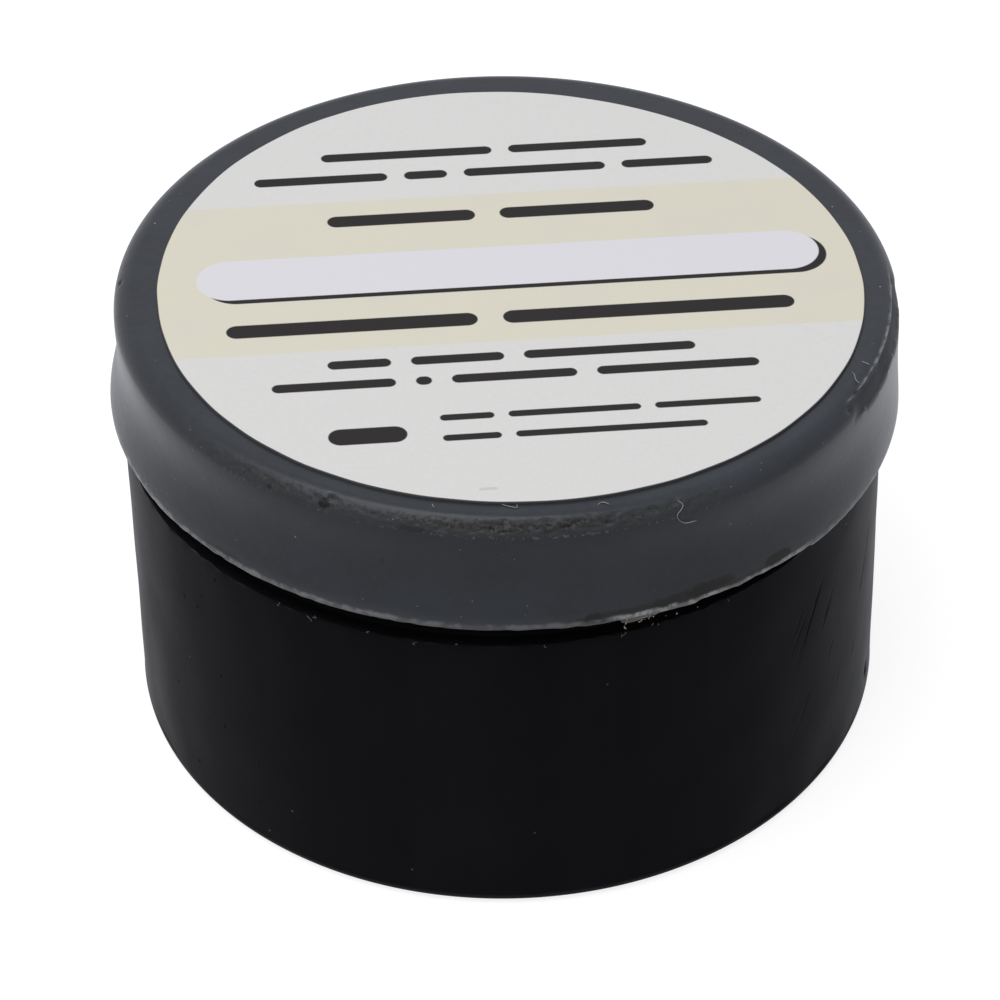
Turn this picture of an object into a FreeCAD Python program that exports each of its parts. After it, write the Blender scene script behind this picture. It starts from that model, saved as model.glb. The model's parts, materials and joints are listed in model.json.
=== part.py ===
import FreeCAD, Part
import math
import os

# A small round jar of cast soldering rosin: a cup with an inset neck, the rosin cast into it,
# a dried run of rosin on its shoulder, a loose push-on lid and the paper label on that lid.
# Millimetres. The origin is the middle of the standing ring, +Z is up and -Y is the front.

# Cup
BODY_R = 20.05            # outside of the cup's wall
SHOULDER_Z = 17.85        # height of the ledge on which the wall ends
FOOT_ROUND = 0.7          # rounding between the wall and the standing ring
RING_W = 2.65             # width of the standing ring
RING_ROUND = 0.15         # rounding of its inner edge
BASE_RECESS = 0.4         # how far the middle of the base is raised off the table
RECESS_SLOPE = 0.5        # width of the slope from the ring up to the recess
RECESS_ROUND = 0.3        # rounding at the top of that slope
FLOOR = 1.2               # top of the floor above the table
CAVITY_ROUND = 1.2        # rounding between the floor and the cavity's wall

# Neck, set in from the wall, with the cavity running straight up through it
SHOULDER_W = 0.95         # width of the ledge between the wall and the neck
NECK_WALL = 0.7           # thickness of the neck
NECK_H = 5.49             # neck above the shoulder
NECK_ROUND = 0.12         # rounding between the shoulder and the neck
RIM_ROUND = 0.2           # both edges of the rim
BEAD_OUT = 0.15           # sealing bead's height off the neck
BEAD_HALF = 0.45          # half of the bead's width
BEAD_DOWN = 1.05          # middle of the bead below the rim

# Rosin
ROSIN_DEPTH = 17.4        # mean depth of the cast rosin, 20 g at about 1.08 g/cm3
MENISCUS = 0.45           # rise of the rosin against the wall
MENISCUS_W = 1.5          # width of that rise
DISH = 0.3                # shrinkage dimple in the middle

# Dried run of rosin in the gap under the lid: bearing from +X, then the half sizes of a bead
RUN_BEARINGS = (-72.0, -69.6, -67.2)
RUN_ALONG = (0.75, 0.95, 0.8)
RUN_HIGH = (0.95, 1.35, 1.5)
RUN_OUT = (0.75, 0.7, 0.6)
RUN_OFF_NECK = 0.1        # middles of the beads off the neck

# Lid
LID_FIT = 0.4             # radial clearance between the sealing bead and the lid's bore
PLATE = 1.2               # thickness of the lid's top
LID_WALL = 0.54           # skirt's wall at its top
TOP_ROUND = 1.0           # rounding of the top edge
SKIRT = 5.1               # skirt below the underside of the top
LIP_OUT = 0.58            # how far the skirt's lower edge stands out past the top edge
SKIRT_BOW = 0.27          # how far the skirt's outside is hollowed half way down
LEAD_IN = 0.35            # widening of the bore at its mouth
LEAD_IN_H = 0.9           # height of that widening
BORE_ROUND = 0.35         # rounding between the bore and the underside of the top

# How the loose lid sits: it touches the rim on one side and stands off it on the other
TILT = 2.02               # degrees
TILT_BEARING = 55.0       # bearing of the low side from +X
LID_SHIFT_X = 0.3         # the lid's middle off the jar's middle
LID_SHIFT_Y = 0.1

# Label
LABEL_MARGIN = 1.97       # bare lid left round the label
LABEL_T = 0.15
LABEL_SHIFT_X = 0.1       # label's middle off the lid's middle
LABEL_SHIFT_Y = -0.49

# Derived
NECK_R = BODY_R - SHOULDER_W
CAVITY_R = NECK_R - NECK_WALL
RING_IN_R = BODY_R - RING_W
RIM_Z = SHOULDER_Z + NECK_H
BEAD_Z = RIM_Z - BEAD_DOWN
FILL_Z = FLOOR + ROSIN_DEPTH
BORE_R = NECK_R + BEAD_OUT + LID_FIT
LID_TOP_R = BORE_R + LID_WALL
LIP_R = LID_TOP_R + LIP_OUT
LABEL_R = LID_TOP_R - LABEL_MARGIN
RIM_CONTACT_R = NECK_R - RIM_ROUND
SEAT_Z = RIM_Z + RIM_CONTACT_R * math.tan(math.radians(TILT))


def point(radius, height):
    """Point of a half section, in the XZ plane."""
    return FreeCAD.Vector(radius, 0, height)


def run(start, end, edges):
    """Add the straight edge between two points unless they coincide."""
    if start.distanceToPoint(end) > 1e-6:
        edges.append(Part.LineSegment(start, end).toShape())


def rounded(before, corner, after, radius):
    """Ends and middle of the arc that rounds a corner."""
    to_before = (before - corner).normalize()
    to_after = (after - corner).normalize()
    half = to_before.getAngle(to_after) / 2
    reach = radius / math.tan(half)
    bisector = (to_before + to_after).normalize()
    centre = corner + bisector * (radius / math.sin(half))
    return corner + to_before * reach, centre - bisector * radius, corner + to_after * reach


def turned(corners, bows=None):
    """Solid turned about Z from (radius, height, rounding) corners in order.

    bows maps a corner's number to a point that the run to the next corner passes through.
    """
    bows = bows or {}
    spots = [point(radius, height) for radius, height, _ in corners]
    edges = []
    first = None
    last = None
    for number, (_, _, rounding) in enumerate(corners):
        here = spots[number]
        entry, exit_ = here, here
        middle = None
        if rounding > 0:
            after = spots[(number + 1) % len(spots)]
            entry, middle, exit_ = rounded(spots[number - 1], here, after, rounding)
        if first is None:
            first = entry
        elif number - 1 in bows:
            edges.append(Part.Arc(last, bows[number - 1], entry).toShape())
        else:
            run(last, entry, edges)
        if middle is not None:
            edges.append(Part.Arc(entry, middle, exit_).toShape())
        last = exit_
    run(last, first, edges)
    face = Part.Face(Part.Wire(edges))
    return face.revolve(FreeCAD.Vector(0, 0, 0), FreeCAD.Vector(0, 0, 1), 360)


def jar_body():
    """Cup with a standing ring, a sharp shoulder and an inset neck with a sealing bead."""
    corners = [
        (0, BASE_RECESS, 0),
        (RING_IN_R - RECESS_SLOPE, BASE_RECESS, RECESS_ROUND),
        (RING_IN_R, 0, RING_ROUND),
        (BODY_R, 0, FOOT_ROUND),
        (BODY_R, SHOULDER_Z, 0),
        (NECK_R, SHOULDER_Z, NECK_ROUND),
        (NECK_R, BEAD_Z - BEAD_HALF, 0),
        (NECK_R, BEAD_Z + BEAD_HALF, 0),
        (NECK_R, RIM_Z, RIM_ROUND),
        (CAVITY_R, RIM_Z, RIM_ROUND),
        (CAVITY_R, FLOOR, CAVITY_ROUND),
        (0, FLOOR, 0),
    ]
    return turned(corners, {6: point(NECK_R + BEAD_OUT, BEAD_Z)})


def rosin_cake():
    """Rosin cast into the cup, risen against the wall and sunk in the middle."""
    wall_z = FILL_Z + MENISCUS
    rise_r = CAVITY_R - MENISCUS_W
    corners = [
        (0, FLOOR, 0),
        (CAVITY_R, FLOOR, CAVITY_ROUND),
        (CAVITY_R, wall_z, 0),
        (rise_r, FILL_Z, 0),
        (0, FILL_Z - DISH, 0),
    ]
    low = point(CAVITY_R - MENISCUS_W * 0.4, FILL_Z + MENISCUS * 0.26)
    dish_r = (rise_r ** 2 + DISH ** 2) / (2 * DISH)
    half_way = rise_r / 2
    sunk = DISH - dish_r + math.sqrt(dish_r ** 2 - half_way ** 2)
    return turned(corners, {2: low, 3: point(half_way, FILL_Z - sunk)})


def bead_of_rosin(bearing, along, out, high):
    """One rounded bead of rosin lying in the corner between the shoulder and the neck."""
    stretch = FreeCAD.Matrix()
    stretch.scale(out, along, high)
    bead = Part.makeSphere(1.0).transformGeometry(stretch)
    bead.translate(FreeCAD.Vector(NECK_R + RUN_OFF_NECK, 0, SHOULDER_Z))
    bead.rotate(FreeCAD.Vector(0, 0, 0), FreeCAD.Vector(0, 0, 1), bearing)
    return bead


def rosin_run(cup):
    """Dried run of rosin, its back and its foot on the cup's own faces."""
    sizes = zip(RUN_BEARINGS, RUN_ALONG, RUN_OUT, RUN_HIGH)
    beads = [bead_of_rosin(*size) for size in sizes]
    lump = beads[0].multiFuse(beads[1:])
    below = Part.makeCylinder(BODY_R + max(RUN_OUT), SHOULDER_Z)
    inside = Part.makeCylinder(CAVITY_R, RIM_Z)
    return lump.cut(below).cut(inside).cut(cup)


def seated(shape):
    """Move a shape from the lid's own frame to where the loose lid sits on the rim.

    In the lid's own frame the origin is the middle of the underside of its top.
    """
    bearing = math.radians(TILT_BEARING)
    hinge = FreeCAD.Vector(-math.sin(bearing), math.cos(bearing), 0)
    turn = FreeCAD.Rotation(hinge, TILT)
    slope_x = math.cos(bearing) * math.tan(math.radians(TILT))
    slope_y = math.sin(bearing) * math.tan(math.radians(TILT))
    height = SEAT_Z - slope_x * LID_SHIFT_X - slope_y * LID_SHIFT_Y
    spot = FreeCAD.Vector(LID_SHIFT_X, LID_SHIFT_Y, height)
    placed = shape.copy()
    placed.Placement = FreeCAD.Placement(spot, turn).multiply(placed.Placement)
    return placed


def lid():
    """Push-on lid: flat top, rounded edge, skirt that narrows a little and then flares."""
    mouth_z = -SKIRT
    corners = [
        (0, PLATE, 0),
        (LID_TOP_R, PLATE, TOP_ROUND),
        (LID_TOP_R, PLATE - TOP_ROUND, 0),
        (LIP_R, mouth_z, 0),
        (BORE_R + LEAD_IN, mouth_z, 0),
        (BORE_R, mouth_z + LEAD_IN_H, 0),
        (BORE_R, 0, BORE_ROUND),
        (0, 0, 0),
    ]
    waist_z = (PLATE - TOP_ROUND + mouth_z) / 2
    waist_r = (LID_TOP_R + LIP_R) / 2 - SKIRT_BOW
    return seated(turned(corners, {2: point(waist_r, waist_z)}))


def paper_label():
    """Thin paper disc stuck a little off the middle of the lid's top."""
    spot = FreeCAD.Vector(LABEL_SHIFT_X, LABEL_SHIFT_Y, PLATE)
    return seated(Part.makeCylinder(LABEL_R, LABEL_T, spot))


def main():
    cup = jar_body()
    solids = {
        "jar_body": cup,
        "rosin_cake": rosin_cake(),
        "rosin_run": rosin_run(cup),
        "lid": lid(),
        "paper_label": paper_label(),
    }
    for name, solid in solids.items():
        solid.exportStep("parts/" + name + ".step")


main()
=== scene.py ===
import json
import math

import bpy
import numpy as np
from mathutils import Matrix, Vector


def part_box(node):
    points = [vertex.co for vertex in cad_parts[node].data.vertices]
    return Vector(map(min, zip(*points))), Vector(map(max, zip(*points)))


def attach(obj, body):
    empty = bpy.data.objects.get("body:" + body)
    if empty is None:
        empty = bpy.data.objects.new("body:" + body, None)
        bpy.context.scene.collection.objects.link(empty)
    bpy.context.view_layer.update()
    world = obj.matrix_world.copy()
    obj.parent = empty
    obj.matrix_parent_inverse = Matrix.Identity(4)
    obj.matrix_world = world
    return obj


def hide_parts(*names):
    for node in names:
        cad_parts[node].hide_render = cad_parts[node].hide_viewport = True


# A small round jar of soldering rosin with a loose push-on lid. Sizes are millimetres, turned into
# metres where a mesh is made; materials and the stage are in metres. Bearings are degrees from +X
# towards +Y, so the front is -90.

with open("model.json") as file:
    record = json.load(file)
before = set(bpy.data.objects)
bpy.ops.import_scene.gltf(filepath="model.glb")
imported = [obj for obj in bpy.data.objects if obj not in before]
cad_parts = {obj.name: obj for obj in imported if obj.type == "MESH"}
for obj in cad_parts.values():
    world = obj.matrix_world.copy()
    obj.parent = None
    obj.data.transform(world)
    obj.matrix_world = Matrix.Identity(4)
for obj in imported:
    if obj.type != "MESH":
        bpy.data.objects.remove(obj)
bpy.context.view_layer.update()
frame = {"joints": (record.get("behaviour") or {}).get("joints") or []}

MM = 0.001
TAU = 2 * math.pi

# Sizes that the frame's boxes don't give
SHOULDER_Z = 17.85
SHOULDER_W = 0.95
FOOT_ROUND = 0.7
RING_W = 2.65
BASE_RECESS = 0.4
RECESS_SLOPE = 0.5
CAVITY_ROUND = 1.2
BEAD_OUT = 0.15
BEAD_HALF = 0.45
BEAD_DOWN = 1.05
LID_PLATE = 1.2
LID_SKIRT = 5.1
LIP_OUT = 0.58
LID_WALL = 0.54
TOP_ROUND = 1.0
SKIRT_BOW = 0.27
LEAD_IN = 0.35
LEAD_IN_H = 0.9
MENISCUS = 0.45
DISH = 0.3

# The label's outline as amplitude, wave count and phase of its wanders
LABEL_WANDER = ((0.095, 2, 96), (0.105, 3, 11), (0.025, 4, -148))

# The label's print, in axes that lean with it: a cream band from one height to another, a blank
# white plate, rows of bars in place of words as height, thickness and the bars' ends, and a smudge
PRINT_LEAN = 5.4
BAND_LOW = -4.95
BAND_HIGH = 8.2
PLATE_MIDDLE = (0.2, 1.6)
PLATE_HALF = (16.2, 1.75)
PLATE_SHADE = (0.35, -0.35)
PRINT_ROWS = (
    (12.45, 0.75, (-8.8, 0.4), (1.3, 8.8)),
    (10.4, 0.75, (-12.5, -5.4), (-4.5, -2.2), (-1.3, 6.3), (7.2, 12.1)),
    (6.4, 1.0, (-8.9, -1.1), (0.2, 8.4)),
    (-2.95, 1.1, (-14.7, -1.9), (-0.6, 14.4)),
    (-6.25, 0.7, (-9.8, -6.6), (-5.6, -0.9), (0.1, 8.8)),
    (-7.95, 0.7, (-12.7, -6.5), (-5.5, -4.7), (-3.7, 2.6), (3.6, 11.8)),
    (-11.1, 0.5, (-4.6, -1.9), (-1.2, 5.4), (6.1, 11.4)),
    (-12.75, 0.5, (-4.6, -1.7), (-1.0, 8.5)),
    (-12.2, 1.3, (-10.2, -6.3)),
)
SMUDGE = (-2.8, -16.95)

# Wear on the lid, as bearings: the middle of its chewed edge, the two ends of the stretch where its
# edge is trimmed, where its lip's longer tongue ends, and where its skirt is drawn in
CHEWED = -88
TRIMMED = (-29, 0)
TONGUE_END = -63
RIGHT_DENT = 6

# Pits in the lid's top rounding as bearing, place along the arc, size and depth
PITS = (
    (-116, 0.62, 0.16, 0.16), (-81.5, 0.85, 0.12, 0.1),
    (-32.5, 0.95, 0.16, 0.14), (179.5, 0.8, 0.14, 0.12),
)

# Wear on the jar: its scratched and its pitted side and the nick in its wall, as bearings, the
# nick's height and half height, and how far the wall leans in towards its top
SCRATCHED = -29
PITTED = -158
NICK_BEARING = -14
NICK_Z = 2.2
NICK_HALF = 0.3
WALL_DRAFT = 0.12

# Stains on the lid's skirt as bearing, drop below the top, half width, half height and depth
STAINS = (
    (-78.4, 5.8, 0.4, 0.3, 1.2), (-72.5, 5.85, 3.0, 0.35, 0.7), (-66, 5.75, 1.8, 0.4, 0.8),
    (-61, 5.6, 1.5, 0.4, 0.9), (-55, 5.85, 1.6, 0.25, 0.5), (-49.6, 5.65, 0.9, 0.35, 1.6),
    (-121, 0.75, 1.4, 0.3, 0.2), (-133, 5.9, 1.5, 0.3, 0.5), (-38, 5.8, 0.7, 0.2, 0.4),
    (-116, 0.47, 0.3, 0.2, 1.5), (-125, 0.6, 0.2, 0.12, 0.9), (-103, 0.7, 0.7, 0.2, 0.6),
)

# Pale crumbs of rosin in the gap, their paleness partly painted glints of the run, as bearing,
# radius, height and size
GLINT_CRUMBS = (
    (-72.9, 19.75, 17.98, 0.11), (-72.6, 19.6, 18.12, 0.09), (-72.5, 19.55, 18.35, 0.07),
    (-70.7, 19.6, 18.08, 0.1), (-70.3, 19.62, 18.1, 0.12), (-69.8, 19.62, 18.14, 0.08),
    (-69.1, 19.66, 18.12, 0.07), (-68.5, 19.66, 18.18, 0.11), (-68.1, 19.64, 18.3, 0.09),
    (-66.5, 19.7, 18.0, 0.06), (-64.8, 19.75, 17.98, 0.07), (-61.5, 19.8, 17.93, 0.04),
)

# Where the whiskers of flash grow on the shoulder's edge, as bearings
WHISKERS = (-125, -119.6, -118.9, -109.7, -103, -97.2, -85, -73.9, -73.1, -68.8, -67.9, -57)

# Fineness of the turned meshes: the steps round each, and the rounding, the longest step and the
# steps round it of a corner that says no more
LID_STEPS = 900
LABEL_STEPS = 720
JAR_STEPS = 600
CAKE_STEPS = 360
PLAIN_CORNER = (0, 1.2, 5)


def size_of(node):
    """Lowest and highest corner of a CAD node, in millimetres."""
    low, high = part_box(node)
    return np.array(low) / MM, np.array(high) / MM


jar_low, jar_high = size_of("jar_body")
cake_low, cake_high = size_of("rosin_cake")
lid_low, lid_high = size_of("lid")
label_low, label_high = size_of("paper_label")

BODY_R = (jar_high[0] - jar_low[0]) / 2
RIM_Z = jar_high[2]
NECK_R = BODY_R - SHOULDER_W
CAVITY_R = (cake_high[0] - cake_low[0]) / 2
FLOOR_Z = cake_low[2]
CAKE_WALL_Z = cake_high[2]

# The lid's own frame: origin in the middle of the underside of its top, Z along its axis
lid_axis = Vector(frame["joints"][0]["axis"]).normalized()
LIP_R = (lid_high[0] - lid_low[0]) / 2 / math.sqrt(1 - lid_axis.x ** 2)
mouth = Vector((
    (lid_low[0] + lid_high[0]) / 2,
    (lid_low[1] + lid_high[1]) / 2,
    lid_low[2] + LIP_R * math.sqrt(1 - lid_axis.z ** 2),
))
lid_turn = np.array(Vector((0, 0, 1)).rotation_difference(lid_axis).to_matrix())
lid_origin = np.array(mouth + lid_axis * LID_SKIRT)
LID_TOP_R = LIP_R - LIP_OUT
BORE_R = LID_TOP_R - LID_WALL

label_middle = lid_turn.T @ ((label_low + label_high) / 2 - lid_origin)
LABEL_R = (label_high[0] - label_low[0]) / 2 / math.sqrt(1 - lid_axis.x ** 2)
LABEL_T = 2 * (label_middle[2] - LID_PLATE)


# ---------------------------------------------------------------- shapes


def arc_at(corner, before, after, rounding, steps):
    """Arc that rounds a corner: where it starts, the points after that, and their shares of it.

    The corner is cut back by rounding / tan(half its angle) on both sides, and the arc is
    centre + rounding (cos a, sin a) between the cuts.
    """
    back, ahead = before - corner, after - corner
    back /= np.linalg.norm(back)
    ahead /= np.linalg.norm(ahead)
    half = math.acos(np.clip(back @ ahead, -1, 1)) / 2
    middle = back + ahead
    centre = corner + middle / np.linalg.norm(middle) * rounding / math.sin(half)
    entry = corner + back * rounding / math.tan(half)
    leave = corner + ahead * rounding / math.tan(half)
    first = math.atan2(*(entry - centre)[::-1])
    last = math.atan2(*(leave - centre)[::-1])
    sweep = (last - first + math.pi) % TAU - math.pi
    share = np.linspace(0, 1, steps + 1)[1:]
    angle = first + sweep * share
    return entry, centre + rounding * np.stack([np.cos(angle), np.sin(angle)], 1), share


def section(corners):
    """Half section through rounded corners: radii, heights, run numbers and places along the runs.

    A corner is (r, z, rounding, longest step up to it, steps round it), the last three of which may
    be left off. Along a run the place is (1 - cos(pi s)) / 2 for even s, so that the points close
    up towards its ends. The run number of an arc lies half way between those beside it.
    """
    spots = np.array([corner[:2] for corner in corners], float)
    rows = []
    start = spots[0]
    for number in range(1, len(corners)):
        given = corners[number][2:]
        rounding, step, arc_steps = (*given, *PLAIN_CORNER[len(given):])
        end, arc = spots[number], None
        if rounding:
            end, arc, share = arc_at(end, spots[number - 1], spots[number + 1], rounding, arc_steps)
        count = max(2, math.ceil(np.linalg.norm(end - start) / step))
        place = (1 - np.cos(np.pi * np.linspace(0, 1, count + 1))) / 2
        place = place if number == 1 else place[1:]
        run = start + np.outer(place, end - start)
        rows.append(np.column_stack([run, np.full(len(run), number - 1.0), place]))
        if arc is not None:
            rows.append(np.column_stack([arc, np.full(len(arc), number - 0.5), share]))
            end = arc[-1]
        start = end
    return np.concatenate(rows).T


def finish_mesh(name, points, faces, sharp=32):
    """Mesh object from points in millimetres, smooth except over edges sharper than an angle."""
    mesh = bpy.data.meshes.new(name)
    mesh.from_pydata((np.asarray(points) * MM).tolist(), [], faces)
    mesh.update()
    mesh.polygons.foreach_set("use_smooth", np.ones(len(mesh.polygons), bool))
    mesh.set_sharp_from_angle(angle=math.radians(sharp))
    piece = bpy.data.objects.new(name, mesh)
    bpy.context.collection.objects.link(piece)
    return piece


def quads(place):
    """Quads between the neighbours of a grid of vertex numbers whose columns wrap."""
    beside = np.roll(place, -1, axis=1)
    corners = [place[:-1], place[1:], beside[1:], beside[:-1]]
    return np.stack(corners, -1).reshape(-1, 4).tolist()


def wrapped(name, grid):
    """Closed skin over a grid of points whose first and last rows are poles, each closed by a fan."""
    rows, columns = grid.shape[:2]
    points = np.concatenate([grid[:1, 0], grid[1:-1].reshape(-1, 3), grid[-1:, 0]])
    place = 1 + np.arange((rows - 2) * columns).reshape(rows - 2, columns)
    first = np.stack([np.zeros(columns, int), place[0], np.roll(place[0], -1)], 1)
    last = np.stack([place[-1], np.full(columns, len(points) - 1), np.roll(place[-1], -1)], 1)
    return finish_mesh(name, points, quads(place) + first.tolist() + last.tolist())


def round_about(radius, height, bearing):
    """Points (r cos t, r sin t, z)."""
    return np.stack([radius * np.cos(bearing), radius * np.sin(bearing), height], -1)


def on_lid(points):
    """Points of the lid's own frame, turned and moved to where the lid sits."""
    return points @ lid_turn.T + lid_origin


def ripple(bearing, fewest, most, seed):
    """Sum of cosines with whole wave counts, random phases and sizes, of unit spread."""
    dice = np.random.default_rng(seed)
    counts = np.arange(fewest, most + 1)
    sizes = dice.normal(size=counts.size)
    phases = dice.uniform(0, TAU, counts.size)
    waves = np.cos(np.multiply.outer(bearing, counts) + phases) * sizes
    return waves.sum(-1) / np.sqrt((sizes ** 2).sum() / 2)


def grain(bearing, along, width, seed, waves=48):
    """Mottle of unit spread: random waves cos(k t + m s + p), whole in t and about width wide."""
    dice = np.random.default_rng(seed)
    aim = dice.uniform(0, TAU, waves)
    pace = TAU / width * dice.uniform(0.5, 1.4, waves)
    around = np.round(pace * np.cos(aim) * LID_TOP_R)
    up = pace * np.sin(aim)
    phases = dice.uniform(0, TAU, waves)
    total = np.zeros(np.broadcast(bearing, along).shape)
    for count, rise, phase in zip(around, up, phases):
        total += np.cos(count * bearing + rise * along + phase)
    return total * math.sqrt(2 / waves)


def turned(corners, steps):
    """A section turned round Z: grids of radii, heights, run numbers and places, and the bearings."""
    t = np.linspace(0, TAU, steps, endpoint=False)[None, :]
    return *(row[:, None] + 0 * t for row in section(corners)), t


def off_from(bearing, middle):
    """Angle from a middle in degrees to a bearing, between -pi and pi."""
    return (bearing - math.radians(middle) + math.pi) % TAU - math.pi


def near(bearing, middle, half):
    """Smooth bump (1 - x^2)^2 over half a width either side of a bearing in degrees."""
    return np.clip(1 - (off_from(bearing, middle) / math.radians(half)) ** 2, 0, None) ** 2


def spot(bearing, along, middle, level, size):
    """Round bump exp(-d^2), d the distance over size from a bearing in degrees and a place."""
    sideways = off_from(bearing, middle) * LID_TOP_R
    return np.exp(-((sideways ** 2 + (along - level) ** 2) / size ** 2))


def stretch(bearing, first, last, blur):
    """1 between two bearings in degrees, falling to 0 as a smooth step over blur degrees."""
    turn = np.degrees((bearing + math.pi) % TAU - math.pi)
    rise = np.clip((turn - first + blur) / blur, 0, 1)
    fall = np.clip((last + blur - turn) / blur, 0, 1)
    return rise ** 2 * (3 - 2 * rise) * fall ** 2 * (3 - 2 * fall)


def give(piece, name, grid):
    """Stores a grid of numbers on the vertices that wrapped() keeps, for a material to read."""
    values = np.concatenate([grid[:1, 0], grid[1:-1].ravel(), grid[-1:, 0]])
    layer = piece.data.attributes.new(name, "FLOAT", "POINT")
    layer.data.foreach_set("value", values.astype(np.float32))


# ---------------------------------------------------------------- pieces


def make_jar():
    """Cup: a turned section with a proud bead on the neck, (1 - x^2) across its width.

    The wall draws in a little towards the shoulder and has one nick. The shoulder's edge is uneven
    by a few hundredths, where the mould's flash was trimmed.
    """
    bead_z = RIM_Z - BEAD_DOWN
    corners = [
        (0, BASE_RECESS),
        (BODY_R - RING_W - RECESS_SLOPE, BASE_RECESS, 0.3),
        (BODY_R - RING_W, 0, 0.15),
        (BODY_R, 0, FOOT_ROUND, 0.6, 8),
        (BODY_R, SHOULDER_Z, 0.06, 0.8),
        (NECK_R, SHOULDER_Z, 0.12, 0.2),
        (NECK_R, RIM_Z, 0.2, 0.16),
        (CAVITY_R, RIM_Z, 0.2, 0.3),
        (CAVITY_R, FLOOR_Z, CAVITY_ROUND),
        (0, FLOOR_Z),
    ]
    radius, height, run, _, t = turned(corners, JAR_STEPS)
    across = (height - bead_z) / BEAD_HALF
    radius = radius + np.where(run == 5, BEAD_OUT * np.clip(1 - across ** 2, 0, None), 0)
    edge = np.exp(-((radius - BODY_R) / 0.12) ** 2 - ((height - SHOULDER_Z) / 0.12) ** 2)
    ragged = 0.028 * ripple(t, 40, 150, 3) + 0.03 * ripple(t, 4, 30, 4)
    outer = (run >= 2) & (run <= 4) & (radius > NECK_R + 0.3)
    radius = radius - outer * WALL_DRAFT * np.clip(height / SHOULDER_Z, 0, 1)
    height = height + edge * ragged
    radius = radius - edge * 0.02 * np.clip(ripple(t, 30, 120, 5), 0, None)
    wall = run == 3
    radius = radius - 0.012 * wall * (1 + grain(t, height, 5.0, 6))
    nick = spot(t, height, NICK_BEARING, NICK_Z, 0.45) * wall
    return wrapped("jar", round_about(radius - 0.09 * nick, height, t))


def make_cake():
    """Cast rosin: flat over the floor, risen at the wall as exp(-d / w), dished as 1 - (r / R)^2."""
    corners = [
        (0, FLOOR_Z),
        (CAVITY_R, FLOOR_Z, CAVITY_ROUND),
        (CAVITY_R, CAKE_WALL_Z),
        (0, CAKE_WALL_Z, 0, 0.2),
    ]
    radius, height, run, _, t = turned(corners, CAKE_STEPS)
    inside = CAVITY_R - radius
    rise = MENISCUS * np.exp(-inside / 0.5)
    dish = -DISH * (1 - (radius / CAVITY_R) ** 2)
    flow = 0.035 * grain(radius * np.cos(t) / LID_TOP_R, radius * np.sin(t), 9.0, 11)
    flow = flow * np.clip(inside / 3, 0, 1)
    top = CAKE_WALL_Z - MENISCUS + rise + dish + flow
    height = np.where(run == 2, np.minimum(top, CAKE_WALL_Z), height)
    return wrapped("rosin_block", round_about(radius, height, t))


def lid_grid():
    """The lid's section in its own frame, turned: radii, heights, run numbers, places, bearings."""
    corners = [
        (0, LID_PLATE),
        (LID_TOP_R - 2.4, LID_PLATE),
        (LID_TOP_R, LID_PLATE, TOP_ROUND, 0.3, 20),
        (LIP_R, -LID_SKIRT, 0.2, 0.25, 6),
        (BORE_R + LEAD_IN, -LID_SKIRT, 0.08, 0.2, 3),
        (BORE_R, LEAD_IN_H - LID_SKIRT, 0.1, 0.3, 3),
        (BORE_R, 0, 0.35),
        (0, 0),
    ]
    return turned(corners, LID_STEPS)


def trim(radius, height, run, place, share, t):
    """Cuts the top's rounding, by share, back to a straight facet below a low proud ridge."""
    ridge_z = LID_PLATE - 0.2
    ridge_r = LID_TOP_R - 0.36 + 0.12 * stretch(t, -32, -24, 5)
    low_z = -0.05 + 0.13 * ripple(t, 8, 60, 28)
    fallen = np.clip((ridge_z - height) / (ridge_z - low_z), 0, 1)
    facet_r = ridge_r + (LID_TOP_R + 0.02 - ridge_r) * fallen
    cut = share * (fallen > 0) * (fallen < 1) * np.clip(radius - facet_r, 0, None)
    proud = np.exp(-(((place - 0.35) / 0.032) ** 2)) * share * (run == 1.5)
    proud = proud * (1 + 0.5 * ripple(t, 30, 140, 29))
    on_facet = share * (fallen > 0.02) * (fallen < 0.98)
    return radius - cut + 0.05 * proud, height + 0.05 * proud, proud, on_facet


def chew(radius, height, place, on_arc, t):
    """Takes bites and pits out of the top's rounding along its normal.

    Gives the new radii and heights, the band where the bites lie and how chewed each bearing is.
    """
    arc_long = place * TOP_ROUND * math.pi / 2
    lean = np.where(on_arc, place * math.pi / 2, 0)
    band = np.clip(1 - ((place - 0.6) / 0.4) ** 2, 0, None) ** 2 * on_arc
    chewed = near(t, CHEWED, 27)
    chewed = chewed + 0.5 * near(t, CHEWED - 36, 26) + 0.4 * near(t, CHEWED + 24, 14)
    bites = 0.05 * np.clip(grain(t, arc_long, 0.4, 21), 0, None)
    bites = 0.03 + bites + 0.06 * np.clip(grain(t, arc_long, 1.0, 22) - 0.1, 0, None)
    pits = sum(depth * spot(t, arc_long, *pit) for *pit, depth in PITS)
    cut = band * chewed * bites + pits * on_arc
    return radius - cut * np.sin(lean), height - cut * np.cos(lean), band, chewed


def frayed(height, run, t):
    """Heights with the skirt's lower edge ragged, and with a longer tongue left of the crumbs."""
    low = np.clip((0.6 - LID_SKIRT - height) / 0.6, 0, 1) * (run > 1.5) * (run < 5)
    fringe = 0.016 * ripple(t, 30, 160, 25) + 0.03 * ripple(t, 5, 22, 26)
    risen = 0.15 * stretch(t, TONGUE_END, -44, 1.2) - 0.07 * near(t, TONGUE_END + 6, 1.1)
    return height + low * (np.clip(fringe, -0.02, 0.08) + risen)


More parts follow.
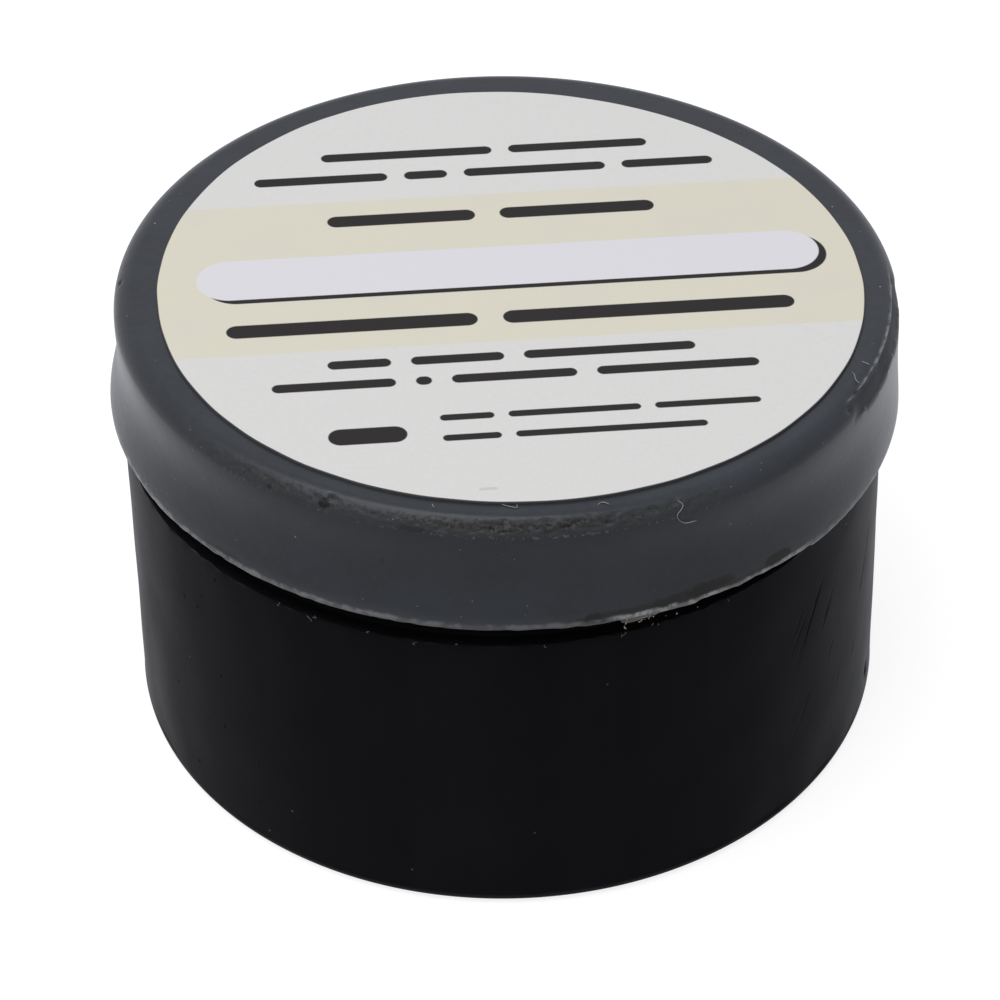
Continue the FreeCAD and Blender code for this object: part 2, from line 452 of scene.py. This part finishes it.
def make_lid():
    """Lid: a turned section, then worn.

    The skirt is hollowed by bow sin(pi s), to the power 1.5, less so and drawn in at the right, and
    swells slowly. Round the top's arc the trimmed crescent takes a ridge and a facet, and the
    chewed stretch loses bites.
    """
    radius, height, run, place, t = lid_grid()
    on_arc = run == 1.5
    right = near(t, RIGHT_DENT, 62)
    bow = SKIRT_BOW * (1 - 0.75 * right) * np.sin(np.pi * place) ** 1.5
    drawn = 0.16 * right * np.clip(-height / LID_SKIRT, 0, 1) ** 2
    drawn = drawn * (radius > BORE_R + LEAD_IN + 0.1)
    radius = radius - (run == 2) * bow - (run <= 3) * drawn

    trimmed = stretch(t, *TRIMMED, 4) * ((run == 2) | on_arc)
    radius, height, ridge, facet = trim(radius, height, run, place, trimmed, t)
    radius, height, band, chewed = chew(radius, height, place, on_arc, t)

    swell = 0.016 * (ripple(t, 2, 5, 23) - 1.6) + 0.006 * ripple(t, 6, 24, 24)
    drop = LID_PLATE - height
    radius = radius + (run <= 2.6) * swell * np.clip(drop / 5.5, 0, 1)
    piece = wrapped("cap", on_lid(round_about(radius, frayed(height, run, t), t)))
    give(piece, "wear", band * (0.12 + chewed))
    give(piece, "fray", np.exp(-(((place - 0.97) / 0.07) ** 2)) * on_arc * chewed)
    give(piece, "drop", drop)
    give(piece, "ridge", np.clip(ridge, 0, 1))
    give(piece, "facet", facet)
    return piece


def make_label():
    """Paper disc, cut out of round: R + the sum of a cos(n t + p) over LABEL_WANDER, p in degrees."""
    corners = [
        (0, LID_PLATE + LABEL_T),
        (LABEL_R - 0.3, LID_PLATE + LABEL_T),
        (LABEL_R, LID_PLATE + LABEL_T, 0.03, 0.03),
        (LABEL_R, LID_PLATE, 0.02),
        (0, LID_PLATE),
    ]
    radius, height, _, _, t = turned(corners, LABEL_STEPS)
    inset = LABEL_R - radius
    for size, waves, phase in LABEL_WANDER:
        radius = radius * (1 + size / LABEL_R * np.cos(waves * t + math.radians(phase)))
    radius = radius * (1 + 0.0004 * ripple(t, 9, 40, 31))
    grid = round_about(radius, height, t)
    grid[..., :2] += label_middle[:2]
    piece = wrapped("label", on_lid(grid))
    give(piece, "inset", inset)
    sheet = piece.data.uv_layers.new(name="sheet")
    points = np.empty(len(piece.data.vertices) * 3)
    piece.data.vertices.foreach_get("co", points)
    own = (points.reshape(-1, 3) / MM - lid_origin) @ lid_turn
    corner = np.empty(len(piece.data.loops), int)
    piece.data.loops.foreach_get("vertex_index", corner)
    flat = (own[:, :2] - label_middle[:2]) / (2 * LABEL_R) + 0.5
    sheet.data.foreach_set("uv", flat[corner].ravel())
    return piece


def make_run():
    """Dried run of rosin: a tube along the foot of the neck whose thickness swells in drops."""
    low, high = size_of("rosin_run")
    first = math.atan2((low[1] + high[1]) / 2 - 0.5, low[0] + 0.3)
    last = math.atan2((low[1] + high[1]) / 2 + 0.5, high[0] - 0.2)
    along = np.linspace(0, 1, 90)[:, None]
    turn = np.linspace(0, TAU, 40, endpoint=False)[None, :]
    ends = np.sqrt(np.clip(1 - (2 * along - 1) ** 4, 0, 1))
    drops = 0.86 + 0.14 * np.cos(along * TAU * 2.4 + 0.6)
    height = (high[2] - SHOULDER_Z) * ends * (0.55 + 0.45 * along) * drops
    thick = 0.62 * ends * (0.75 + 0.25 * drops)
    t = first + (last - first) * along
    radius = NECK_R + thick * (0.25 + 0.75 * np.cos(turn))
    lift = SHOULDER_Z - 0.02 + height * (0.5 + 0.5 * np.sin(turn))
    radius = np.maximum(radius, NECK_R - 0.05)
    return wrapped("rosin_drip", round_about(radius, lift, t + 0 * turn))


def strand(knots, thick, steps=12, sides=6):
    """Closed thin tube through knots: quadratic Bezier arcs between their mid-points."""
    knots = np.array(knots, float)
    middles = (knots[1:] + knots[:-1]) / 2
    ends = np.concatenate([knots[:1], middles, knots[-1:]])
    path = []
    for number in range(len(ends) - 1):
        inner = 0 < number < len(ends) - 2
        bend = knots[number] if inner else middles[min(number, len(middles) - 1)]
        s = np.linspace(0, 1, steps, endpoint=False)[:, None]
        first, last = ends[number:number + 2]
        path.append((1 - s) ** 2 * first + 2 * s * (1 - s) * bend + s ** 2 * last)
    path = np.concatenate(path + [ends[-1:]])
    ahead = np.gradient(path, axis=0)
    ahead /= np.linalg.norm(ahead, axis=1)[:, None]
    side = np.cross(ahead, (0.31, 0.17, 0.93))
    side /= np.linalg.norm(side, axis=1)[:, None]
    over = np.cross(side, ahead)
    turn = np.linspace(0, TAU, sides, endpoint=False)[None, :, None]
    width = thick * np.sqrt(np.clip(1 - np.linspace(-1, 1, len(path)) ** 6, 0, 1))
    ring = side[:, None] * np.cos(turn) - over[:, None] * np.sin(turn)
    return path[:, None] + ring * width[:, None, None]


def strands(name, grids, sharp=180):
    """One piece from several closed tubes, each a grid whose end rows have shrunk to a point."""
    points, faces = [], []
    for grid in grids:
        rows, sides = grid.shape[:2]
        place = sum(len(part) for part in points) + np.arange(rows * sides).reshape(rows, sides)
        faces += quads(place) + [place[0].tolist(), place[-1][::-1].tolist()]
        points.append(grid.reshape(-1, 3))
    return finish_mesh(name, np.concatenate(points), faces, sharp)


def make_lint():
    """A few pale fibres that cling to the lid, the longest one hooked over its edge."""
    top = LID_PLATE + 0.05
    knots = [
        [(7.95, -18.15, 1.04), (8.32, -18.26, 0.86), (8.2, -18.47, 0.7), (7.98, -18.64, 0.52),
         (8.0, -18.68, 0.3), (8.33, -18.58, -0.08), (8.67, -18.43, -0.12), (8.98, -18.3, -0.1)],
        [(-0.5, -18.7, top), (-0.2, -18.85, top), (0.12, -18.95, top), (0.3, -19.0, top),
         (0.25, -18.7, top)],
        [(-3.8, -18.65, top), (-3.78, -18.8, top), (-3.7, -18.95, top)],
        [(4.15, -18.8, top), (4.25, -18.62, top), (4.45, -18.55, top), (4.7, -18.75, top)],
        [(17.2, -8.1, top), (17.33, -8.4, top), (17.3, -8.7, top), (17.5, -9.1, top)],
        [(17.75, -7.2, top), (17.95, -7.35, top), (18.15, -7.5, top)],
    ]
    return strands("lint", [on_lid(strand(row, 0.017)) for row in knots])


def on_wall(bearing, radius, height):
    """One point at a bearing in degrees."""
    angle = math.radians(bearing)
    return np.array([radius * math.cos(angle), radius * math.sin(angle), height])


def make_curls():
    """Whiskers of flash on the shoulder's trimmed edge, each a random walk outward and down."""
    dice = np.random.default_rng(41)
    grids = []
    for bearing in WHISKERS:
        turns, drops = dice.uniform(-0.5, 0.5, 4), dice.uniform(-0.12, 0.04, 4)
        outs = BODY_R - WALL_DRAFT - 0.05 + np.cumsum(dice.uniform(-0.01, 0.07, 4))
        path = zip(bearing + np.cumsum(turns), outs, SHOULDER_Z + 0.04 + np.cumsum(drops))
        knots = [on_wall(*spot_on) for spot_on in path]
        grids.append(strand(knots, dice.uniform(0.015, 0.026), steps=5, sides=5))
    return strands("flash_curls", grids)


def make_glint_crumbs():
    """Pale broken crumbs of rosin round the dried run, each an uneven ball of a few flat faces; their
    paleness is partly painted glints.
    """
    dice = np.random.default_rng(43)
    grids = []
    for bearing, radius, height, size in GLINT_CRUMBS:
        level = np.linspace(0, math.pi, 5)[:, None]
        turn = np.linspace(TAU, 0, 6, endpoint=False)[None, :]
        ball = round_about(np.sin(level), -np.cos(level) + 0 * turn, turn)
        uneven = 1 + dice.uniform(-0.4, 0.4, ball.shape[:2] + (1,))
        uneven[0], uneven[-1] = 1, 1
        tip = Vector(dice.normal(size=3)).to_track_quat("Z", "Y").to_matrix()
        stretched = ball * uneven * size * dice.uniform((0.35, 0.35, 1.0), (0.7, 0.7, 1.6))
        grids.append(on_wall(bearing, radius, height) + stretched @ np.array(tip).T)
    return strands("rosin_crumbs_glints", grids, 20)


# ---------------------------------------------------------------- finishes


class Wire:
    """A node's output. Arithmetic on it adds Math nodes."""

    def __init__(self, finish, socket):
        self.finish = finish
        self.socket = socket

    def math(self, operation, *values):
        return self.finish.node("Math", {"operation": operation}, dict(enumerate(values)))

    def __add__(self, other):
        return self.math("ADD", self, other)

    __radd__ = __add__

    def __sub__(self, other):
        return self.math("SUBTRACT", self, other)

    def __rsub__(self, other):
        return self.math("SUBTRACT", other, self)

    def __mul__(self, other):
        return self.math("MULTIPLY", self, other)

    __rmul__ = __mul__

    def __truediv__(self, other):
        return self.math("DIVIDE", self, other)

    def __pow__(self, other):
        return self.math("POWER", self, other)

    def size(self):
        return self.math("ABSOLUTE", self)

    def largest(self, other):
        return self.math("MAXIMUM", self, other)

    def smallest(self, other):
        return self.math("MINIMUM", self, other)

    def fade(self, low, high):
        """0 at low, 1 at high, smooth between; low may be above high."""
        inputs = {"Value": self, "From Min": low, "From Max": high}
        return self.finish.node("MapRange", {"interpolation_type": "SMOOTHSTEP"}, inputs)


class Finish:
    """The nodes of a material or a world."""

    def __init__(self, owner):
        self.owner = owner
        self.owner.use_nodes = True
        self.tree = self.owner.node_tree
        self.tree.nodes.clear()

    def node(self, kind, settings, inputs, output=0):
        """One output of a new node, which takes its settings first and then its inputs."""
        made = self.tree.nodes.new("ShaderNode" + kind)
        for name, value in settings.items():
            setattr(made, name, value)
        for key, value in inputs.items():
            if isinstance(value, Wire):
                self.tree.links.new(value.socket, made.inputs[key])
            else:
                made.inputs[key].default_value = value
        return Wire(self, made.outputs[output])

    def place(self):
        return self.node("TexCoord", {}, {}, "Object")

    def joined(self, x, y):
        return self.node("CombineXYZ", {}, {"X": x, "Y": y})

    def parts(self, vector):
        split = self.node("SeparateXYZ", {}, {"Vector": vector})
        outputs = split.socket.node.outputs
        return [Wire(self, outputs[axis]) for axis in range(3)]

    def attribute(self, name):
        return self.node("Attribute", {"attribute_name": name}, {}, "Fac")

    def shifted(self, vector, shift):
        return self.node("VectorMath", {"operation": "ADD"}, {0: vector, 1: shift})

    def noise(self, vector, scale, detail, roughness, seed):
        shifted = self.shifted(vector, (seed, seed * 0.7, -seed))
        inputs = {"Vector": shifted, "Scale": scale, "Detail": detail, "Roughness": roughness}
        return self.node("TexNoise", {}, inputs)

    def specks(self, vector, scale, size, kept, seed):
        """Round specks: 1 inside a share of the cells, 0 outside, size in cell widths."""
        shifted = self.shifted(vector, (seed, -seed, seed * 0.3))
        cells = self.node("TexVoronoi", {}, {"Vector": shifted, "Scale": scale}, "Distance")
        colour = Wire(self, cells.socket.node.outputs["Color"])
        draw = self.parts(colour)[0]
        return cells.fade(size, size * 0.55) * draw.fade(1 - kept, 1 - kept + 0.001)

    def mix(self, share, first, second):
        settings = {"data_type": "RGBA"}
        return self.node("Mix", settings, {0: share, 6: first, 7: second}, 2)

    def bump(self, height, distance):
        return self.node("Bump", {}, {"Height": height, "Distance": distance})

    def end(self, kind, shader):
        """Ends the nodes in a shader and gives back what they belong to."""
        out = self.tree.nodes.new("ShaderNodeOutput" + kind)
        self.tree.links.new(shader.socket, out.inputs["Surface"])
        return self.owner

    def surface(self, inputs):
        return self.end("Material", self.node("BsdfPrincipled", {}, inputs))


def new_finish(name):
    return Finish(bpy.data.materials.new(name))


def linear(red, green, blue):
    """A colour written 0 to 255 as seen, as the renderer's linear light."""
    seen = np.array([red, green, blue]) / 255
    light = np.where(seen <= 0.04045, seen / 12.92, ((seen + 0.055) / 1.055) ** 2.4)
    return (*light.tolist(), 1.0)


def cosine_off(x, y, bearing):
    """Cosine of the angle between a place and a bearing in degrees."""
    angle = math.radians(bearing)
    return (x * math.cos(angle) + y * math.sin(angle)) / (x * x + y * y) ** 0.5


def toward(x, y, bearing, inner, outer):
    """1 within inner degrees of a bearing, falling smoothly to 0 at outer degrees."""
    edges = math.cos(math.radians(outer)), math.cos(math.radians(inner))
    return cosine_off(x, y, bearing).fade(*edges)


def between(value, low, high, blur):
    """1 from low to high, falling smoothly to 0 over blur on either side."""
    return value.fade(low - blur, low) * value.fade(high + blur, high)


def blot(x, y, drop, smear, bearing, level, wide, high):
    """Soft ragged oval on the skirt. 1 - cos of the angle off gives the sideways square."""
    sideways = (1 - cosine_off(x, y, bearing)) * (2 * (LIP_R / wide) ** 2)
    away = (drop - level) / high
    return (sideways + away * away + smear * 2.4).fade(2.7, 1.6)


def stained(skin, here, drop, colour):
    """The colour under every stain in turn, each darkest in its middle."""
    x, y, _ = skin.parts(here)
    smear = skin.noise(here, 2200, 4, 0.7, 4.0)
    for bearing, level, wide, high, deep in STAINS:
        stain = (blot(x, y, drop, smear, bearing, level, wide, high) * deep).smallest(1)
        soiled = skin.mix(stain, linear(48, 47, 42), linear(6, 5, 3))
        colour = skin.mix(stain ** 0.7, colour, soiled)
    return colour


def edged(skin, here, drop, colour):
    """The colour with a pale line along the skirt's lower edge, partly torn flash and partly painted
    highlight, brightest at the flash.
    """
    x, y, _ = skin.parts(here)
    ragged = skin.noise(here, 1500, 3, 0.6, 9.0)
    # Painted highlight on the edge, strongest at the flash and faint at the left front, over the pale
    # torn flash
    flash_and_highlight = toward(x, y, -60, 13, 17).largest(toward(x, y, -140, 25, 45) * 0.22)
    pale_rim_and_highlight = between(drop + ragged * 0.3, 6.17, 7.0, 0.2) * (0.4 + ragged.fade(0.42, 0.6) * 0.6)
    return skin.mix(pale_rim_and_highlight * (0.25 + flash_and_highlight * 0.75), colour, linear(180, 182, 184))


def lid_plastic():
    """Dark blue-grey polyethylene, cloudy and dusty, worn, stained and torn at its edges, with
    painted highlights along the trimmed ridge and the skirt's lower edge.
    """
    skin = new_finish("lid_polyethylene")
    here = skin.place()
    wear, fray, ridge, facet, drop = map(skin.attribute, ("wear", "fray", "ridge", "facet", "drop"))
    cloud = skin.noise(here, 260, 4, 0.6, 1.0)
    fine = skin.noise(here, 2600, 2, 0.5, 2.0)
    colour = skin.mix(cloud.fade(0.3, 0.7), linear(44, 47, 52), linear(49, 53, 59))
    colour = skin.mix(fine.fade(0.35, 0.75) * 0.2, colour, linear(60, 62, 66))

    worn = wear.smallest(1)
    blotch = skin.noise(here, 1700, 4, 0.7, 3.0).fade(0.38, 0.6)
    grit = skin.noise(here, 5200, 3, 0.7, 3.5).fade(0.53, 0.63)
    colour = skin.mix(worn * (0.3 + blotch * 0.45), colour, linear(56, 54, 49))
    colour = skin.mix(worn * grit * 0.7, colour, linear(30, 28, 24))
    flecks = fray.smallest(1) * skin.noise(here, 6500, 2, 0.6, 7.0).fade(0.55, 0.64)
    # Painted highlight: a pale line along the trimmed ridge, which the bump also raises
    ridge_highlight = ridge * (0.25 + skin.noise(here, 2400, 3, 0.6, 8.0).fade(0.36, 0.6) * 0.75)
    colour = skin.mix(flecks * 0.6, colour, linear(126, 127, 128))
    colour = skin.mix(facet * 0.6, colour, linear(54, 56, 60))
    colour = skin.mix(ridge_highlight * 0.7, colour, linear(152, 154, 158))

    colour = skin.mix(drop.fade(5.3, 6.3) * 0.1, colour, linear(150, 152, 156))
    colour = edged(skin, here, drop, stained(skin, here, drop, colour))
    pits = skin.specks(here, 700, 0.07, 0.3, 0.3)
    colour = skin.mix(pits * 0.8, colour, linear(26, 25, 23))
    fine_dust = skin.specks(here, 1900, 0.08, 0.3, 1.7) * 0.6
    dust = skin.specks(here, 900, 0.055, 0.45, 0.9).largest(fine_dust)
    colour = skin.mix(dust * 0.8, colour, linear(158, 158, 156))
    rough = 0.31 + (cloud - 0.5) * 0.08 + worn * 0.25 + facet * 0.35
    height = fine * 0.25 + skin.noise(here, 700, 3, 0.6, 6.0) * 0.6
    height = height - pits - worn * (grit * 1.5 + blotch) - ridge_highlight * -2.0
    return skin.surface({
        "Base Color": colour,
        "Roughness": rough,
        "Specular IOR Level": 0.21,
        "Normal": skin.bump(height, 0.00002),
    })


def jar_plastic():
    """Black satin polyethylene, scratched on one side, pitted on the other, and dusty, with a painted
    highlight line round the foot.
    """
    skin = new_finish("jar_polyethylene")
    here = skin.place()
    x, y, z = skin.parts(here)
    cloud = skin.noise(here, 180, 4, 0.6, 1.0)
    colour = skin.mix(cloud.fade(0.3, 0.7), linear(27, 27, 30), linear(30, 30, 34))
    streak = skin.noise(skin.joined(x, y), 260, 3, 0.5, 6.0)
    colour = skin.mix(streak.fade(0.45, 0.65) * 0.35, colour, linear(21, 21, 23))
    # Painted highlight: a lighter line round the foot's rounding, where it mirrors the floor
    foot_highlight = between(z, 0.52 * MM, 0.6 * MM, 0.12 * MM)
    colour = skin.mix(foot_highlight, colour, linear(44, 44, 48))
    slant = skin.joined(y - z * 0.42, z * 0.05)
    lines = skin.noise(slant, 2600, 2, 0.5, 2.0).fade(0.6, 0.68)
    patch = toward(x, y, SCRATCHED, 6, 15) * between(z, 5 * MM, 12.5 * MM, 3 * MM)
    scratches = lines * patch * skin.noise(here, 170, 2, 0.5, 3.0).fade(0.4, 0.6)
    low, high = (NICK_Z - NICK_HALF) * MM, (NICK_Z + NICK_HALF) * MM
    nick = toward(x, y, NICK_BEARING, 0.4, 1.2) * between(z, low, high, NICK_HALF * MM)
    fine_pits = skin.specks(here, 1100, 0.13, 0.3, 0.5) * toward(x, y, PITTED, 18, 40)
    dust = skin.specks(here, 800, 0.06, 0.15, 0.9)
    colour = skin.mix(dust * 0.7, colour, linear(120, 119, 114))
    colour = skin.mix(scratches.largest(nick) * 0.8, colour, linear(15, 15, 16))
    rough = 0.36 + (cloud - 0.5) * 0.12 + (scratches + fine_pits + nick) * 0.4
    height = skin.noise(here, 900, 3, 0.6, 4.0) * 0.5 + skin.noise(here, 90, 2, 0.5, 5.0) * 2
    return skin.surface({
        "Base Color": colour,
        "Roughness": rough,
        "Specular IOR Level": 0.012,
        "Normal": skin.bump(height - (scratches + fine_pits) * 2.5, 0.00002),
    })


def lint_stuff(name, colour):
    """Matt fibre."""
    looks = {"Base Color": colour, "Roughness": 0.6, "Specular IOR Level": 0.2}
    return new_finish(name).surface(looks)


def rosin(name, body, depth):
    """Amber resin: glassy, with fine flow marks and darker, richer patches."""
    skin = new_finish(name)
    here = skin.place()
    flow = skin.noise(here, 160, 5, 0.6, 1.0)
    colour = skin.mix(flow.fade(0.3, 0.7), body, depth)
    crumbs = skin.specks(here, 520, 0.14, 0.05, 0.6)
    colour = skin.mix(crumbs * 0.6, colour, linear(226, 180, 96))
    return skin.surface({
        "Base Color": colour,
        "Roughness": 0.07 + flow * 0.08,
        "Subsurface Weight": 0.35,
        "Subsurface Radius": (0.003, 0.0012, 0.0003),
        "Coat Weight": 0.5,
        "Coat Roughness": 0.04,
        "Normal": skin.bump(skin.noise(here, 420, 3, 0.5, 2.0), 0.00004),
    })


def bar(along, level, middle, half, thick):
    """1 within a level bar with round ends: closer than half its thickness to its middle line."""
    beyond = ((along - middle[0]).size() - (half - thick / 2)).largest(0)
    away = level - middle[1]
    return ((beyond * beyond + away * away) ** 0.5).fade(thick / 2 + 0.04, thick / 2 - 0.04)


def with_print(skin, along, level, colour):
    """The colour under the plate's shadow, the blank plate, the rows of bars and the smudge."""
    ink = linear(31, 28, 28)
    thick = 2 * PLATE_HALF[1]
    shade = (PLATE_MIDDLE[0] + PLATE_SHADE[0], PLATE_MIDDLE[1] + PLATE_SHADE[1])
    plate = bar(along, level, PLATE_MIDDLE, PLATE_HALF[0], thick)
    colour = skin.mix(bar(along, level, shade, PLATE_HALF[0], thick), colour, ink)
    colour = skin.mix(plate, colour, linear(222, 221, 228))
    for row, height, *runs in PRINT_ROWS:
        for first, last in runs:
            printed = bar(along, level, ((first + last) / 2, row), (last - first) / 2, height)
            colour = skin.mix(printed, colour, ink)
    return skin.mix(bar(along, level, SMUDGE, 0.45, 0.2) * 0.2, colour, linear(120, 80, 50))


def label_paper():
    """White paper with a cream band, print that says nothing, and a dark edge, partly glue and partly
    painted shade.
    """
    skin = new_finish("label_paper")
    sheet = skin.node("UVMap", {"uv_map": "sheet"}, {})
    u, v, _ = skin.parts(sheet)
    across = (u - 0.5) * (2 * LABEL_R)
    up = (v - 0.5) * (2 * LABEL_R)
    lean = math.radians(PRINT_LEAN)
    along = across * math.cos(lean) + up * math.sin(lean)
    level = up * math.cos(lean) - across * math.sin(lean)
    here = skin.place()
    grainy = skin.noise(here, 4200, 3, 0.6, 1.0)
    soft = skin.noise(here, 300, 3, 0.5, 2.0)
    paper = skin.mix(grainy.fade(0.3, 0.7), linear(217, 217, 217), linear(221, 220, 219))
    cream = skin.mix(soft.fade(0.3, 0.7), linear(220, 216, 200), linear(218, 214, 201))
    colour = skin.mix(between(level, BAND_LOW, BAND_HIGH, 0.1), paper, cream)
    colour = with_print(skin, along, level, colour)
    reach = skin.attribute("inset")
    # Painted shade, with some glue, darkens the paper's cut edge
    colour = skin.mix(reach.fade(0.06, 0.025) * 0.9, colour, linear(44, 42, 42))
    return skin.surface({
        "Base Color": colour,
        "Roughness": 0.72 + grainy * 0.1,
        "Specular IOR Level": 0.25,
        "Normal": skin.bump(grainy, 0.00001),
    })


# ---------------------------------------------------------------- the object


def dress(piece, body, node, material):
    """Rides the piece on its body, hides the CAD part it stands for and gives it its finish."""
    piece.data.materials.append(material)
    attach(piece, body)
    if node:
        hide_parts(node)


def build():
    """Makes and dresses every piece."""
    lid_finish = lid_plastic()
    jar_finish = jar_plastic()
    amber = rosin("rosin_amber", linear(196, 120, 34), linear(150, 78, 18))
    dark_amber = rosin("rosin_dark", linear(46, 26, 8), linear(24, 14, 6))
    dress(make_jar(), "jar", "jar_body", jar_finish)
    dress(make_cake(), "jar", "rosin_cake", amber)
    dress(make_run(), "jar", "rosin_run", dark_amber)
    dress(make_lid(), "lid", "lid", lid_finish)
    dress(make_label(), "lid", "paper_label", label_paper())
    lint = lint_stuff("lint_fibre", linear(158, 160, 162))
    whisker = lint_stuff("flash_whisker", linear(122, 122, 128))
    # Pale rosin for the crumbs, partly painted glints of the glossy run
    glint_rosin = rosin("rosin_pale_glints", linear(244, 240, 228), linear(236, 222, 190))
    dress(make_lint(), "lid", None, lint)
    dress(make_curls(), "jar", None, whisker)
    dress(make_glint_crumbs(), "jar", None, glint_rosin)


# ---------------------------------------------------------------- stage


def seen_rays(finish):
    """1 for camera, glossy and transmission rays, 0 for the rest."""
    paths = finish.node("LightPath", {}, {}, "Is Camera Ray").socket.node.outputs
    rays = [Wire(finish, paths[f"Is {kind} Ray"]) for kind in ("Camera", "Glossy", "Transmission")]
    return rays[0].largest(rays[1]).largest(rays[2])


def mirror_tone(finish):
    """White, and a hair cooler for glossy rays."""
    mirrored = finish.node("LightPath", {}, {}, "Is Glossy Ray")
    return finish.mix(mirrored, (1, 1, 1, 1), (0.92, 0.93, 1, 1))


def make_floor():
    """Pale floor that reads as white and keeps the jar's soft shadow, and glows fully far from it."""
    half = 1.5
    corners = [(-half, -half, 0), (half, -half, 0), (half, half, 0), (-half, half, 0)]
    mesh = bpy.data.meshes.new("floor")
    mesh.from_pydata(corners, [], [(0, 1, 2, 3)])
    floor = bpy.data.objects.new("floor", mesh)
    bpy.context.collection.objects.link(floor)
    pale = new_finish("floor_pale")
    x, y, _ = pale.parts(pale.place())
    far = (x * x + y * y).fade(0.06, 0.8)
    strength = seen_rays(pale) * (0.84 + far * 0.16)
    glow = pale.node("Emission", {}, {"Color": mirror_tone(pale), "Strength": strength})
    matt = pale.node("BsdfDiffuse", {}, {"Color": (0.3, 0.3, 0.3, 1)})
    both = pale.node("AddShader", {}, {0: glow, 1: matt})
    mesh.materials.append(pale.end("Material", both))


def make_sky():
    """White surroundings as seen, a hair cooler as mirrored, and dimmer as light on the object."""
    sky = Finish(bpy.data.worlds.new("studio"))
    strength = 0.27 + seen_rays(sky) * 0.73
    light = sky.node("Background", {}, {"Color": mirror_tone(sky), "Strength": strength})
    bpy.context.scene.world = sky.end("World", light)


def make_lamp(name, place, aim, size, power):
    """Square soft box."""
    data = bpy.data.lights.new(name, "AREA")
    data.shape = "SQUARE"
    data.size = size
    data.energy = power
    lamp = bpy.data.objects.new(name, data)
    lamp.location = place
    lamp.rotation_mode = "QUATERNION"
    lamp.rotation_quaternion = (Vector(aim) - Vector(place)).to_track_quat("-Z", "Y")
    bpy.context.collection.objects.link(lamp)


def make_camera():
    """Camera in front, 40 degrees above the table, rolled by a degree."""
    aim = Vector((0, 0, 0.011))
    elevation = math.radians(39.844)
    roll = math.radians(1.069)
    distance = 0.22
    ahead = Vector((0, math.cos(elevation), -math.sin(elevation)))
    right = Vector((1, 0, 0))
    above = right.cross(ahead)
    rolled_right = right * math.cos(roll) - above * math.sin(roll)
    rolled_up = above * math.cos(roll) + right * math.sin(roll)
    data = bpy.data.cameras.new("camera")
    data.lens = 147.217
    data.sensor_width = 36
    data.shift_x = -0.00427
    data.shift_y = -0.007005
    data.clip_start = 0.01
    data.clip_end = 10
    camera = bpy.data.objects.new("camera", data)
    turn = Matrix((rolled_right, rolled_up, -ahead)).transposed()
    camera.matrix_world = Matrix.Translation(aim - ahead * distance) @ turn.to_4x4()
    bpy.context.collection.objects.link(camera)
    bpy.context.scene.camera = camera


build()
make_floor()
make_sky()
make_lamp("top_box", (-0.15, -0.1, 0.7), (0, 0, 0.02), 0.6, 4.3)
make_camera()
bpy.context.scene.view_settings.view_transform = "Standard"
